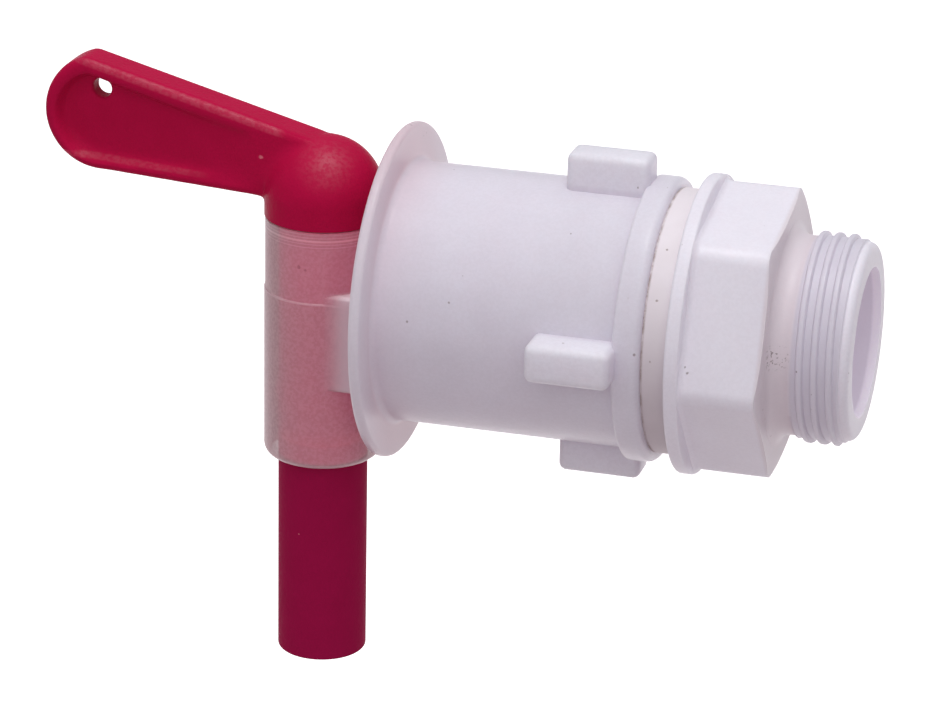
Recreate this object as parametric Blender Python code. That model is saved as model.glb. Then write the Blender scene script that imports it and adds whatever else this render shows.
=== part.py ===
"""Jerrycan tap with a turning plug, screwed to a hexagonal G 3/4 thread adapter.

The frame's origin is on the thread's axis, in the plane of the adapter's shoulder that seats on the
can. +X points along the thread into the can, +Z is up, and the spout points down. The plug turns
about the barrel's vertical axis, and the lever points away from the can, as in the open tap.
"""

import math

import bmesh
import bpy
from mathutils import Matrix, Vector

MM = 0.001

# Clearances.
SEAT_GAP = 0.2 * MM
RUNNING_GAP = 0.15 * MM
WASHER_PLAY = 0.3 * MM
SEAL_SIDE_PLAY = 0.15 * MM
SEAL_FLOOR_PLAY = 0.08 * MM
SEAL_WALL_PLAY = 0.07 * MM
PORT_PLAY = 0.4 * MM

# The G 3/4 pipe thread, 26.44 mm across, on both ends of the adapter.
THREAD_RADIUS = 13.22 * MM
THREAD_DEPTH = 1.12 * MM

# Tap body along the thread's axis. The flange's back is counted from the barrel's axis.
FLANGE_BACK = 9.8 * MM
FLANGE_THICKNESS = 1.4 * MM
END_WALL = 2.4 * MM
SLEEVE_LENGTH = 35.6 * MM
COLLAR_WIDTH = 3.4 * MM
THREADED_DEPTH = 14.4 * MM

# Tap body across the thread's axis.
SLEEVE_WALL = 3.1 * MM
CAVITY_STEP = 1.37 * MM
COLLAR_PROUD = 1.4 * MM
FLANGE_RADIUS = 21.3 * MM
FLANGE_ROUNDING = 0.5 * MM
FLANGE_FILLET = 2.4 * MM
COLLAR_BACK_ROUNDING = 0.3 * MM
COLLAR_FRONT_ROUNDING = 1.0 * MM
BORE_CHAMFER = 0.8 * MM
CAVITY_ROUNDING = 1.2 * MM

# Grip lugs round the sleeve.
LUG_COUNT = 4
LUG_LENGTH = 10.6 * MM
LUG_WIDTH = 4.9 * MM
LUG_PROUD = 4.6 * MM
LUG_INTO_COLLAR = 0.5 * MM
LUG_ROUNDING = 1.0 * MM

# Barrel. Its heights are counted from the thread's axis.
BARREL_TOP = 8.75 * MM
BARREL_BOTTOM = -23.3 * MM
BARREL_WALL = 1.7 * MM
BARREL_STEP_HEIGHT = -0.7 * MM
BARREL_STEP_DEPTH = 0.12 * MM
BARREL_END_ROUNDING = 1.4 * MM
BARREL_RIM_ROUNDING = 0.2 * MM
BARREL_RIM_CHAMFER = 0.4 * MM
INLET_HEIGHT = -5.9 * MM
INLET_RADIUS = 3.6 * MM
NECK_HEIGHT = 12.9 * MM
NECK_INSET = 0.4 * MM
NECK_ROUNDING = 0.7 * MM

# Turning plug.
PLUG_RADIUS = 5.75 * MM
PLUG_WALL = 1.85 * MM
SPOUT_DROP = 50.6 * MM
SPOUT_OUTER_CHAMFER = 0.4 * MM
SPOUT_INNER_CHAMFER = 0.3 * MM
SKIRT_HEIGHT = 2.7 * MM
SEAL_SECTION_RADIUS = 0.55 * MM
UPPER_SEAL_BELOW_RIM = 1.3 * MM
LOWER_SEAL_ABOVE_END = 3.3 * MM
SNAP_BEAD_ABOVE_SEAL = 5.5 * MM
SNAP_BEAD_PROUD = 0.35 * MM
SNAP_BEAD_LAND = 0.6 * MM
SNAP_BEAD_RAMP = 0.7 * MM
SNAP_GROOVE_LAND = 2.0 * MM
SNAP_GROOVE_RAMP = 0.4 * MM

# Lever, part of the plug's moulding. Its tip's height is counted from the dome's centre.
LEVER_THICKNESS = 5.9 * MM
LEVER_REACH = 36.65 * MM
LEVER_TIP_RADIUS = 7.5 * MM
LEVER_TIP_RISE = 8.15 * MM
LEVER_TOP_SLOPE = math.radians(14.6)
LEVER_BOTTOM_SLOPE = math.radians(3.5)
LEVER_EDGE_ROUNDING = 0.9 * MM
RIM_WIDTH = 2.3 * MM
WEB_THICKNESS = 2.9 * MM
WEB_FROM_DOME = 1.4 * MM
RECESS_ROUNDING = 0.7 * MM
HANG_HOLE_RADIUS = 1.25 * MM
HANG_HOLE_RISE = 3.05 * MM
HANG_HOLE_PAST_CENTRE = 0.25 * MM

# Sealing washer.
WASHER_THICKNESS = 2.9 * MM
WASHER_WIDTH = 3.08 * MM
WASHER_ROUNDING = 0.3 * MM

# Thread adapter. Its shoulder is the frame's origin, and the thread's places are counted from it.
SPIGOT_LENGTH = 11.8 * MM
ADAPTER_FLANGE_THICKNESS = 1.75 * MM
ADAPTER_FLANGE_PROUD = 0.9 * MM
ADAPTER_FLANGE_BEVEL_WIDTH = 0.3 * MM
ADAPTER_FLANGE_BEVEL_DEPTH = 0.25 * MM
ADAPTER_FLANGE_ROUNDING = 0.2 * MM
HEX_LENGTH = 9.7 * MM
HEX_SHOULDER_WIDTH = 2.75 * MM
HEX_TURN = math.radians(40.5)
HEX_CORNER_ROUNDING = 0.7 * MM
HEX_CHAMFER_START = 0.4 * MM
HEX_CHAMFER_SLOPE = math.radians(15)
SHOULDER_LIFT = 0.02 * MM
ADAPTER_WALL = 2.75 * MM
ADAPTER_NECK_PROUD = 0.3 * MM
ADAPTER_NECK_FILLET = 1.7 * MM
ADAPTER_NECK_LENGTH = 2.45 * MM
THREAD_LENGTH = 5.9 * MM
THREAD_RAMP = 0.8 * MM
LEAD_LENGTH = 1.5 * MM
LEAD_RAMP = 0.6 * MM
LEAD_ROUNDING = 1.0 * MM

# Sizes that follow from the ones above.
THREAD_ROOT_RADIUS = THREAD_RADIUS - THREAD_DEPTH
THREADED_BORE_RADIUS = THREAD_RADIUS + RUNNING_GAP
SLEEVE_RADIUS = THREADED_BORE_RADIUS + SLEEVE_WALL
COLLAR_RADIUS = SLEEVE_RADIUS + COLLAR_PROUD
BODY_END = FLANGE_BACK + SLEEVE_LENGTH
COLLAR_START = BODY_END - COLLAR_WIDTH
CAVITY_START = FLANGE_BACK + END_WALL
WASHER_START = BODY_END + SEAT_GAP
ADAPTER_FLANGE_BACK = WASHER_START + WASHER_THICKNESS + SEAT_GAP
ADAPTER_FLANGE_FRONT = ADAPTER_FLANGE_BACK + ADAPTER_FLANGE_THICKNESS
BARREL_TO_SHOULDER = ADAPTER_FLANGE_FRONT + HEX_LENGTH
PLUG_BORE_RADIUS = PLUG_RADIUS - PLUG_WALL
BARREL_BORE_RADIUS = PLUG_RADIUS + RUNNING_GAP
BARREL_RADIUS = BARREL_BORE_RADIUS + BARREL_WALL
SKIRT_BOTTOM = BARREL_TOP + SEAT_GAP
DOME_CENTRE = SKIRT_BOTTOM + SKIRT_HEIGHT
UPPER_SEAL_HEIGHT = BARREL_TOP - UPPER_SEAL_BELOW_RIM
LOWER_SEAL_HEIGHT = BARREL_BOTTOM + LOWER_SEAL_ABOVE_END
SNAP_BEAD_HEIGHT = LOWER_SEAL_HEIGHT + SNAP_BEAD_ABOVE_SEAL

ROUND_STEPS = 48
CORNER_STEPS = 3
CUTTER_PAST = 2.0 * MM
JOIN_OVERLAP = 0.3 * MM


def remove_startup_objects():
    for found in list(bpy.data.objects):
        bpy.data.objects.remove(found, do_unlink=True)


def material(name, colour, roughness):
    made = bpy.data.materials.new(name)
    made.use_nodes = True
    shader = made.node_tree.nodes["Principled BSDF"]
    shader.inputs["Base Color"].default_value = (*colour, 1.0)
    shader.inputs["Roughness"].default_value = roughness
    shader.inputs["Metallic"].default_value = 0.0
    return made


def rounded(corners):
    """An outline's points, from corners (along, out, rounding): each rounded corner becomes an arc."""
    points = []
    for index, (along, out, rounding) in enumerate(corners):
        corner = Vector((along, out))
        if not rounding:
            points.append(corner)
            continue
        before = (Vector(corners[index - 1][:2]) - corner).normalized()
        after = (Vector(corners[(index + 1) % len(corners)][:2]) - corner).normalized()
        half_angle = before.angle(after) / 2
        middle = corner + (before + after).normalized() * rounding / math.sin(half_angle)
        start = corner + before * rounding / math.tan(half_angle) - middle
        end = corner + after * rounding / math.tan(half_angle) - middle
        for step in range(CORNER_STEPS + 1):
            points.append(middle + start.slerp(end, step / CORNER_STEPS) * rounding)
    return points


def arc(centre_along, centre_out, radius, first, last, steps):
    """Points of an arc, with angles counted from the along direction towards out."""
    angles = [first + (last - first) * step / steps for step in range(steps + 1)]
    return [
        Vector((centre_along + radius * math.cos(angle), centre_out + radius * math.sin(angle)))
        for angle in angles
    ]


def finish(name, shape, look, helper):
    """Writes the bmesh to a new object. A helper only cuts or joins, so it is left out of renders."""
    bmesh.ops.remove_doubles(shape, verts=shape.verts, dist=0.0001 * MM)
    bmesh.ops.recalc_face_normals(shape, faces=shape.faces)
    mesh = bpy.data.meshes.new(name)
    shape.to_mesh(mesh)
    shape.free()
    mesh.shade_smooth()
    mesh.set_sharp_from_angle(angle=math.radians(30))
    made = bpy.data.objects.new(name, mesh)
    bpy.context.scene.collection.objects.link(made)
    if helper:
        made.hide_render = True
        made.display_type = "WIRE"
    else:
        made.data.materials.append(look)
    return made


def turned(name, outline, axis, look=None):
    """A solid of revolution about X or Z, from a closed outline of (along, out) points.

    Its seams lie half a step off the planes of symmetry, where other shapes cross it.
    """
    shape = bmesh.new()
    along = Vector((1, 0, 0)) if axis == "X" else Vector((0, 0, 1))
    out = Vector((0, 0, 1)) if axis == "X" else Vector((1, 0, 0))
    out.rotate(Matrix.Rotation(math.pi / ROUND_STEPS, 3, along))
    ring = [shape.verts.new(along * point[0] + out * point[1]) for point in outline]
    edges = [
        shape.edges.new((ring[i - 1], ring[i]))
        for i in range(len(ring))
        if outline[i - 1][1] or outline[i][1]
    ]
    bmesh.ops.spin(
        shape,
        geom=ring + edges,
        cent=(0, 0, 0),
        axis=along,
        angle=2 * math.pi,
        steps=ROUND_STEPS,
        use_merge=True,
    )
    return finish(name, shape, look, look is None)


def prism(name, outline, start, end, normal):
    """A helper prism along X or Y: its outline's points are (y, z) or (x, z)."""
    shape = bmesh.new()
    if normal == "X":
        corners = [(start, point[0], point[1]) for point in outline]
        way = Vector((end - start, 0, 0))
    else:
        corners = [(point[0], start, point[1]) for point in outline]
        way = Vector((0, end - start, 0))
    face = shape.faces.new([shape.verts.new(corner) for corner in corners])
    grown = bmesh.ops.extrude_face_region(shape, geom=[face])
    moved = [item for item in grown["geom"] if isinstance(item, bmesh.types.BMVert)]
    bmesh.ops.translate(shape, verts=moved, vec=way)
    return finish(name, shape, None, True)


def rod(name, radius, length, direction, steps=ROUND_STEPS):
    """A helper cylinder that starts at the origin and runs along a direction."""
    shape = bmesh.new()
    bmesh.ops.create_cone(
        shape, cap_ends=True, segments=steps, radius1=radius, radius2=radius, depth=length
    )
    bmesh.ops.translate(shape, verts=shape.verts, vec=(0, 0, length / 2))
    turn = Vector(direction).to_track_quat("Z", "Y").to_matrix()
    bmesh.ops.rotate(shape, verts=shape.verts, cent=(0, 0, 0), matrix=turn)
    return finish(name, shape, None, True)


def combine(target, other, operation):
    change = target.modifiers.new(f"{operation.lower()} {other.name}", "BOOLEAN")
    change.object = other
    change.operation = operation
    change.solver = "EXACT"


def round_edges(target, width, steps, angle=math.radians(50)):
    bevel = target.modifiers.new("rounded edges", "BEVEL")
    bevel.width = width
    bevel.segments = steps
    bevel.limit_method = "ANGLE"
    bevel.angle_limit = angle
    bevel.use_clamp_overlap = False


def within(rounding, *walls):
    """A rounding that leaves a flat on each wall that it takes both edges of."""
    return min(rounding, 0.45 * min(walls))


def carried_by(parent, *pieces):
    for piece in pieces:
        piece.parent = parent


def empty(name, place):
    made = bpy.data.objects.new(name, None)
    made.empty_display_size = 5 * MM
    made.location = place
    bpy.context.scene.collection.objects.link(made)
    return made


def make_tap_body(look):
    """Barrel, inlet neck, flange, sleeve, grip lugs and collar: one moulding, hollow from both ends."""
    flange_front = FLANGE_BACK + FLANGE_THICKNESS
    flange_rounding = within(FLANGE_ROUNDING, FLANGE_THICKNESS)
    threaded_bore_start = BODY_END - THREADED_DEPTH
    sleeve = rounded(
        [
            (FLANGE_BACK, 0, 0),
            (FLANGE_BACK, FLANGE_RADIUS, flange_rounding),
            (flange_front, FLANGE_RADIUS, flange_rounding),
            (flange_front, SLEEVE_RADIUS, FLANGE_FILLET),
            (COLLAR_START, SLEEVE_RADIUS, 0),
            (COLLAR_START, COLLAR_RADIUS, within(COLLAR_BACK_ROUNDING, COLLAR_WIDTH)),
            (BODY_END, COLLAR_RADIUS, within(COLLAR_FRONT_ROUNDING, COLLAR_WIDTH)),
            (BODY_END, THREADED_BORE_RADIUS + BORE_CHAMFER, 0),
            (BODY_END - BORE_CHAMFER, THREADED_BORE_RADIUS, 0),
            (threaded_bore_start, THREADED_BORE_RADIUS, 0),
            (threaded_bore_start, THREADED_BORE_RADIUS - CAVITY_STEP, 0),
            (CAVITY_START, THREADED_BORE_RADIUS - CAVITY_STEP, CAVITY_ROUNDING),
            (CAVITY_START, 0, 0),
        ]
    )
    body = turned("tap_body", sleeve, "X", look)

    upper_radius = BARREL_RADIUS - BARREL_STEP_DEPTH
    barrel = turned(
        "barrel_outside",
        rounded(
            [
                (BARREL_BOTTOM, 0, 0),
                (BARREL_BOTTOM, BARREL_RADIUS, within(BARREL_END_ROUNDING, 2 * BARREL_WALL)),
                (BARREL_STEP_HEIGHT, BARREL_RADIUS, 0),
                (BARREL_STEP_HEIGHT + BARREL_STEP_DEPTH, upper_radius, 0),
                (BARREL_TOP, upper_radius, BARREL_RIM_ROUNDING),
                (BARREL_TOP, 0, 0),
            ]
        ),
        "Z",
    )
    neck_half_width = BARREL_RADIUS - NECK_INSET
    neck_top = INLET_HEIGHT + NECK_HEIGHT / 2
    neck_bottom = INLET_HEIGHT - NECK_HEIGHT / 2
    neck_section = rounded(
        [
            (-neck_half_width, neck_bottom, NECK_ROUNDING),
            (neck_half_width, neck_bottom, NECK_ROUNDING),
            (neck_half_width, neck_top, NECK_ROUNDING),
            (-neck_half_width, neck_top, NECK_ROUNDING),
        ]
    )
    neck = prism("inlet_neck", neck_section, 0, FLANGE_BACK + END_WALL / 2, "X")
    lugs = make_grip_lugs()

    groove_radius = BARREL_BORE_RADIUS + SNAP_BEAD_PROUD
    groove_land = SNAP_GROOVE_LAND / 2
    groove_reach = groove_land + SNAP_GROOVE_RAMP
    funnel_radius = BARREL_BORE_RADIUS + BARREL_RIM_CHAMFER + CUTTER_PAST
    bore = turned(
        "barrel_bore",
        [
            (BARREL_BOTTOM - CUTTER_PAST, 0),
            (BARREL_BOTTOM - CUTTER_PAST, BARREL_BORE_RADIUS),
            (SNAP_BEAD_HEIGHT - groove_reach, BARREL_BORE_RADIUS),
            (SNAP_BEAD_HEIGHT - groove_land, groove_radius),
            (SNAP_BEAD_HEIGHT + groove_land, groove_radius),
            (SNAP_BEAD_HEIGHT + groove_reach, BARREL_BORE_RADIUS),
            (BARREL_TOP - BARREL_RIM_CHAMFER, BARREL_BORE_RADIUS),
            (BARREL_TOP + CUTTER_PAST, funnel_radius),
            (BARREL_TOP + CUTTER_PAST, 0),
        ],
        "Z",
    )
    inlet = rod("inlet_passage", INLET_RADIUS, CAVITY_START + CUTTER_PAST / 2, (1, 0, 0))
    inlet.location.z = INLET_HEIGHT

    for joined in (barrel, neck, lugs):
        combine(body, joined, "UNION")
    for cut in (bore, inlet):
        combine(body, cut, "DIFFERENCE")
    return body, [barrel, neck, lugs, bore, inlet]


def make_grip_lugs():
    """Four blocks round the sleeve, a quarter turn apart, that a hand turns the body by."""
    shape = bmesh.new()
    foot = SLEEVE_RADIUS - SLEEVE_WALL / 2
    height = SLEEVE_RADIUS + LUG_PROUD - foot
    end = COLLAR_START + LUG_INTO_COLLAR
    for index in range(LUG_COUNT):
        block = bmesh.ops.create_cube(shape, size=1)["verts"]
        bmesh.ops.scale(shape, verts=block, vec=(LUG_LENGTH, LUG_WIDTH, height))
        bmesh.ops.translate(shape, verts=block, vec=(end - LUG_LENGTH / 2, 0, foot + height / 2))
        turn = Matrix.Rotation(index * 2 * math.pi / LUG_COUNT, 3, "X")
        bmesh.ops.rotate(shape, verts=block, cent=(0, 0, 0), matrix=turn)
    lugs = finish("grip_lugs", shape, None, True)
    round_edges(lugs, within(LUG_ROUNDING, LUG_PROUD, LUG_WIDTH, LUG_LENGTH), 2)
    return lugs


def lever_outline(inset):
    """The lever's side view, drawn in from its edge by an inset, with the tip's arc on the far end."""
    tip_x = LEVER_TIP_RADIUS - LEVER_REACH
    top_normal = math.pi / 2 - LEVER_TOP_SLOPE
    bottom_normal = -math.pi / 2 - LEVER_BOTTOM_SLOPE
    tip = arc(
        tip_x,
        DOME_CENTRE + LEVER_TIP_RISE,
        LEVER_TIP_RADIUS - inset,
        math.pi - top_normal,
        math.pi - bottom_normal,
        16,
    )
    inner_x = -(BARREL_RADIUS + WEB_FROM_DOME) if inset else 0.0
    top_end = tip[0].y + (tip[0].x - inner_x) * math.tan(LEVER_TOP_SLOPE)
    bottom_end = tip[-1].y + (tip[-1].x - inner_x) * math.tan(LEVER_BOTTOM_SLOPE)
    return [Vector((inner_x, top_end))] + tip + [Vector((inner_x, bottom_end))]


def make_lever():
    """A flat blade with a rounded rim all round, a thinner web inside it and a hole to hang it by."""
    half = LEVER_THICKNESS / 2
    blade = prism("lever_blade", lever_outline(0), -half, half, "Y")
    round_edges(blade, within(LEVER_EDGE_ROUNDING, LEVER_THICKNESS, RIM_WIDTH), 3)
    helpers = [blade]
    for name, side in (("front_web_recess", -1), ("back_web_recess", 1)):
        floor = side * WEB_THICKNESS / 2
        recess = prism(name, lever_outline(RIM_WIDTH), floor, side * (half + CUTTER_PAST), "Y")
        round_edges(recess, RECESS_ROUNDING, 2)
        combine(blade, recess, "DIFFERENCE")
        helpers.append(recess)
    hole = rod("hang_hole", HANG_HOLE_RADIUS, LEVER_THICKNESS + 2 * CUTTER_PAST, (0, 1, 0), steps=24)
    hole.location = (
        LEVER_TIP_RADIUS - LEVER_REACH - HANG_HOLE_PAST_CENTRE,
        -half - CUTTER_PAST,
        DOME_CENTRE + LEVER_TIP_RISE + HANG_HOLE_RISE,
    )
    combine(blade, hole, "DIFFERENCE")
    helpers.append(hole)
    return blade, helpers


def seal_groove(height):
    """Corners of an O-ring groove in the plug, from below."""
    floor = BARREL_BORE_RADIUS - SEAL_WALL_PLAY - 2 * SEAL_SECTION_RADIUS - SEAL_FLOOR_PLAY
    half = SEAL_SECTION_RADIUS + SEAL_SIDE_PLAY
    return [
        (height - half, PLUG_RADIUS),
        (height - half, floor),
        (height + half, floor),
        (height + half, PLUG_RADIUS),
    ]


def make_turning_plug(look):
    """Lever, dome, plug and spout: one moulding. Its bore opens at the spout and at the side port."""
    bead_radius = PLUG_RADIUS + SNAP_BEAD_PROUD
    bead_land = SNAP_BEAD_LAND / 2
    bead_reach = bead_land + SNAP_BEAD_RAMP
    outline = [
        *arc(DOME_CENTRE, 0, BARREL_RADIUS, 0, math.pi / 2, 10),
        (SKIRT_BOTTOM, BARREL_RADIUS),
        (SKIRT_BOTTOM, PLUG_RADIUS),
        *reversed(seal_groove(UPPER_SEAL_HEIGHT)),
        (SNAP_BEAD_HEIGHT + bead_reach, PLUG_RADIUS),
        (SNAP_BEAD_HEIGHT + bead_land, bead_radius),
        (SNAP_BEAD_HEIGHT - bead_land, bead_radius),
        (SNAP_BEAD_HEIGHT - bead_reach, PLUG_RADIUS),
        *reversed(seal_groove(LOWER_SEAL_HEIGHT)),
        (-SPOUT_DROP + SPOUT_OUTER_CHAMFER, PLUG_RADIUS),
        (-SPOUT_DROP, PLUG_RADIUS - SPOUT_OUTER_CHAMFER),
        (-SPOUT_DROP, PLUG_BORE_RADIUS + SPOUT_INNER_CHAMFER),
        (-SPOUT_DROP + SPOUT_INNER_CHAMFER, PLUG_BORE_RADIUS),
        *reversed(arc(INLET_HEIGHT + PLUG_RADIUS, 0, PLUG_BORE_RADIUS, 0, math.pi / 2, 5)),
    ]
    plug = turned("turning_plug", outline, "Z", look)
    lever, helpers = make_lever()
    port = rod("side_port", INLET_RADIUS - PORT_PLAY, PLUG_RADIUS + CUTTER_PAST, (1, 0, 0))
    port.location.z = INLET_HEIGHT
    combine(plug, lever, "UNION")
    combine(plug, port, "DIFFERENCE")
    return plug, [*helpers, port]


def make_o_ring(name, height, look):
    middle = BARREL_BORE_RADIUS - SEAL_WALL_PLAY - SEAL_SECTION_RADIUS
    section = arc(height, middle, SEAL_SECTION_RADIUS, 0, 2 * math.pi, 8)[:-1]
    return turned(name, section, "Z", look)


def make_sealing_washer(look):
    """A thick flat ring between the collar and the adapter's flange."""
    start = WASHER_START - BARREL_TO_SHOULDER
    end = start + WASHER_THICKNESS
    inner = THREAD_RADIUS + WASHER_PLAY
    outer = inner + WASHER_WIDTH
    rounding = within(WASHER_ROUNDING, WASHER_THICKNESS)
    outline = rounded(
        [(start, inner, 0), (start, outer, rounding), (end, outer, rounding), (end, inner, 0)]
    )
    return turned("sealing_washer", outline, "X", look)


def make_hexagon(start):
    """The spanner hexagon, with its corners cut back by a turned chamfer at the shoulder."""
    flat_radius = THREAD_RADIUS + HEX_SHOULDER_WIDTH
    corner_radius = 2 * flat_radius / math.sqrt(3)
    corners = []
    for index in range(6):
        angle = HEX_TURN + index * math.pi / 3
        place = (-corner_radius * math.sin(angle), corner_radius * math.cos(angle))
        corners.append((*place, HEX_CORNER_ROUNDING))
    hexagon = prism("hexagon", rounded(corners), start, CUTTER_PAST, "X")
    chamfer_radius = flat_radius + HEX_CHAMFER_START
    outer = corner_radius + CUTTER_PAST
    envelope = turned(
        "hexagon_chamfer",
        [
            (start - CUTTER_PAST, 0),
            (start - CUTTER_PAST, outer),
            ((chamfer_radius - outer) * math.tan(HEX_CHAMFER_SLOPE), outer),
            (0, chamfer_radius),
            (0, 0),
        ],
        "X",
    )
    combine(hexagon, envelope, "INTERSECT")
    return hexagon, envelope


def make_thread_adapter(look):
    """A hexagon nipple with a flange: one threaded spigot sits in the body, the other enters the can."""
    spigot_start = BODY_END - SPIGOT_LENGTH - BARREL_TO_SHOULDER
    flange_back = ADAPTER_FLANGE_BACK - BARREL_TO_SHOULDER
    flange_front = ADAPTER_FLANGE_FRONT - BARREL_TO_SHOULDER
    flange_radius = COLLAR_RADIUS + ADAPTER_FLANGE_PROUD
    neck_radius = THREAD_ROOT_RADIUS + ADAPTER_NECK_PROUD
    fillet_radius = neck_radius + ADAPTER_NECK_FILLET
    thread_end = ADAPTER_NECK_LENGTH + THREAD_LENGTH
    end = thread_end + LEAD_LENGTH
    outline = rounded(
        [
            (spigot_start, 0, 0),
            (spigot_start, THREAD_ROOT_RADIUS, 0),
            (spigot_start + THREAD_DEPTH, THREAD_RADIUS, 0),
            (flange_back, THREAD_RADIUS, 0),
            (flange_back, flange_radius - ADAPTER_FLANGE_BEVEL_DEPTH, 0),
            (flange_back + ADAPTER_FLANGE_BEVEL_WIDTH, flange_radius, 0),
            (flange_front, flange_radius, ADAPTER_FLANGE_ROUNDING),
            (flange_front, fillet_radius, 0),
            (SHOULDER_LIFT, fillet_radius, 0),
            (SHOULDER_LIFT, neck_radius, ADAPTER_NECK_FILLET - SHOULDER_LIFT),
            (ADAPTER_NECK_LENGTH, neck_radius, 0),
            (ADAPTER_NECK_LENGTH + THREAD_RAMP, THREAD_RADIUS, 0),
            (thread_end - LEAD_RAMP, THREAD_RADIUS, 0),
            (thread_end, THREAD_ROOT_RADIUS, 0),
            (end, THREAD_ROOT_RADIUS, LEAD_ROUNDING),
            (end, 0, 0),
        ]
    )
    adapter = turned("thread_adapter", outline, "X", look)

    hexagon, envelope = make_hexagon(flange_front - JOIN_OVERLAP)
    bore_radius = THREAD_ROOT_RADIUS - ADAPTER_WALL
    bore = rod("adapter_bore", bore_radius, end - spigot_start + 2 * CUTTER_PAST, (1, 0, 0))
    bore.location.x = spigot_start - CUTTER_PAST
    combine(adapter, hexagon, "UNION")
    combine(adapter, bore, "DIFFERENCE")
    return adapter, [hexagon, envelope, bore]


def main():
    remove_startup_objects()
    natural_plastic = material("natural plastic", (0.78, 0.75, 0.79), 0.42)
    red_plastic = material("red plastic", (0.40, 0.008, 0.035), 0.35)
    white_plastic = material("white plastic", (0.84, 0.81, 0.86), 0.4)
    washer_plastic = material("washer plastic", (0.72, 0.68, 0.70), 0.55)
    silicone_rubber = material("silicone rubber", (0.62, 0.42, 0.45), 0.5)

    barrel_axis = (-BARREL_TO_SHOULDER, 0, 0)
    body_frame = empty("body_frame", barrel_axis)
    plug_axis = empty("plug_axis", barrel_axis)

    body, body_helpers = make_tap_body(natural_plastic)
    carried_by(body_frame, body, *body_helpers)

    plug, plug_helpers = make_turning_plug(red_plastic)
    upper_seal = make_o_ring("upper_o_ring", UPPER_SEAL_HEIGHT, silicone_rubber)
    lower_seal = make_o_ring("lower_o_ring", LOWER_SEAL_HEIGHT, silicone_rubber)
    carried_by(plug_axis, plug, upper_seal, lower_seal, *plug_helpers)

    make_sealing_washer(washer_plastic)
    make_thread_adapter(white_plastic)


main()
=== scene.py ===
import math

import bmesh
import bpy
from mathutils import Matrix, Vector


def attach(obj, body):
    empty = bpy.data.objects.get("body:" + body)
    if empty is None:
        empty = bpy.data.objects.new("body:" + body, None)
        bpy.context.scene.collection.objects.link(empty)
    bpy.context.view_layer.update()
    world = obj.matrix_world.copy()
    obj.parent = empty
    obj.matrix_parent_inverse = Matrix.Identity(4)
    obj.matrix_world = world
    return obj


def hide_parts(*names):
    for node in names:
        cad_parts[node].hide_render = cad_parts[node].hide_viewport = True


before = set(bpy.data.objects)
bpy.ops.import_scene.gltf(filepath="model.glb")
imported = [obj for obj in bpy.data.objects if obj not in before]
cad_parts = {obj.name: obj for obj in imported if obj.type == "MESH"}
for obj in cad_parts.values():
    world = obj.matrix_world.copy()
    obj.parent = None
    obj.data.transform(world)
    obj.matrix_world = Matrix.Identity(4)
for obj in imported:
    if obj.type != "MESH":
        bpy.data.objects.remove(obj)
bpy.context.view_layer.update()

# Tap body. Barrel, inlet neck, hand flange, sleeve with four grip lugs and collar are one moulding of
# natural polyethylene, milky and a little see-through, so that the red plug shows in the barrel.
MM = 0.001
BARREL_AXIS = Vector((-60.15, 0, 0))
BARREL_RADIUS = 7.6
BARREL_STEP = 0.12
BARREL_BOTTOM, BARREL_TOP = -23.3, 8.75
BORE_RADIUS = 5.9
GROOVE_DEPTH = 0.35
INLET_HEIGHT, INLET_RADIUS = -5.9, 3.6
SLEEVE_RADIUS = 16.47
FLANGE_RADIUS, COLLAR_RADIUS = 21.3, 17.87
FLANGE_BACK, FLANGE_FRONT = 9.8, 11.2
COLLAR_START, BODY_END = 42.0, 45.4
CAVITY_START, CAVITY_RADIUS = 12.2, 12.0
THREADED_START, THREADED_RADIUS = 31.0, 13.37
NECK_HALF_WIDTH, NECK_BOTTOM, NECK_TOP, NECK_LENGTH = 7.2, -12.35, 0.55, 11.0
NECK_ROUNDING = 0.7
LUG_SIZE = Vector((10.6, 4.9, 6.15))
LUG_PLACE = Vector((37.2, 0, 17.995))
LUG_ROUNDING = 1.0


def drawn(corners, start, along, out, steps=6):
    """A flat outline of (along, out, rounding) corners in mm, each rounded by its own amount."""
    shape = bmesh.new()
    points = [shape.verts.new((start + along * c[0] + out * c[1]) * MM) for c in corners]
    shape.faces.new(points)
    for point, corner in zip(points, corners):
        if len(corner) == 3:
            bmesh.ops.bevel(
                shape,
                geom=[point],
                offset=corner[2] * MM,
                offset_type="OFFSET",
                segments=steps,
                profile=0.5,
                affect="VERTICES",
                material=-1,
            )
    return shape


def solid(name, shape):
    """The bmesh as a new object, with its normals made to point out."""
    bmesh.ops.remove_doubles(shape, verts=shape.verts, dist=0.0001 * MM)
    bmesh.ops.recalc_face_normals(shape, faces=shape.faces)
    mesh = bpy.data.meshes.new(name)
    shape.to_mesh(mesh)
    shape.free()
    made = bpy.data.objects.new(name, mesh)
    bpy.context.scene.collection.objects.link(made)
    return made


def turned(name, corners, start, along, out, turns=144):
    """A body of revolution about the line through start."""
    shape = drawn(corners, start, along, out)
    bmesh.ops.delete(shape, geom=shape.faces[:], context="FACES_ONLY")
    on_axis = [
        edge
        for edge in shape.edges
        if all((v.co / MM - start).cross(along).length < 0.0001 for v in edge.verts)
    ]
    bmesh.ops.delete(shape, geom=on_axis, context="EDGES")
    bmesh.ops.rotate(
        shape,
        verts=shape.verts,
        cent=start * MM,
        matrix=Matrix.Rotation(math.pi / turns, 3, along),
    )
    bmesh.ops.spin(
        shape,
        geom=shape.verts[:] + shape.edges[:],
        cent=start * MM,
        axis=along,
        angle=2 * math.pi,
        steps=turns,
        use_merge=True,
    )
    return solid(name, shape)


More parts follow.
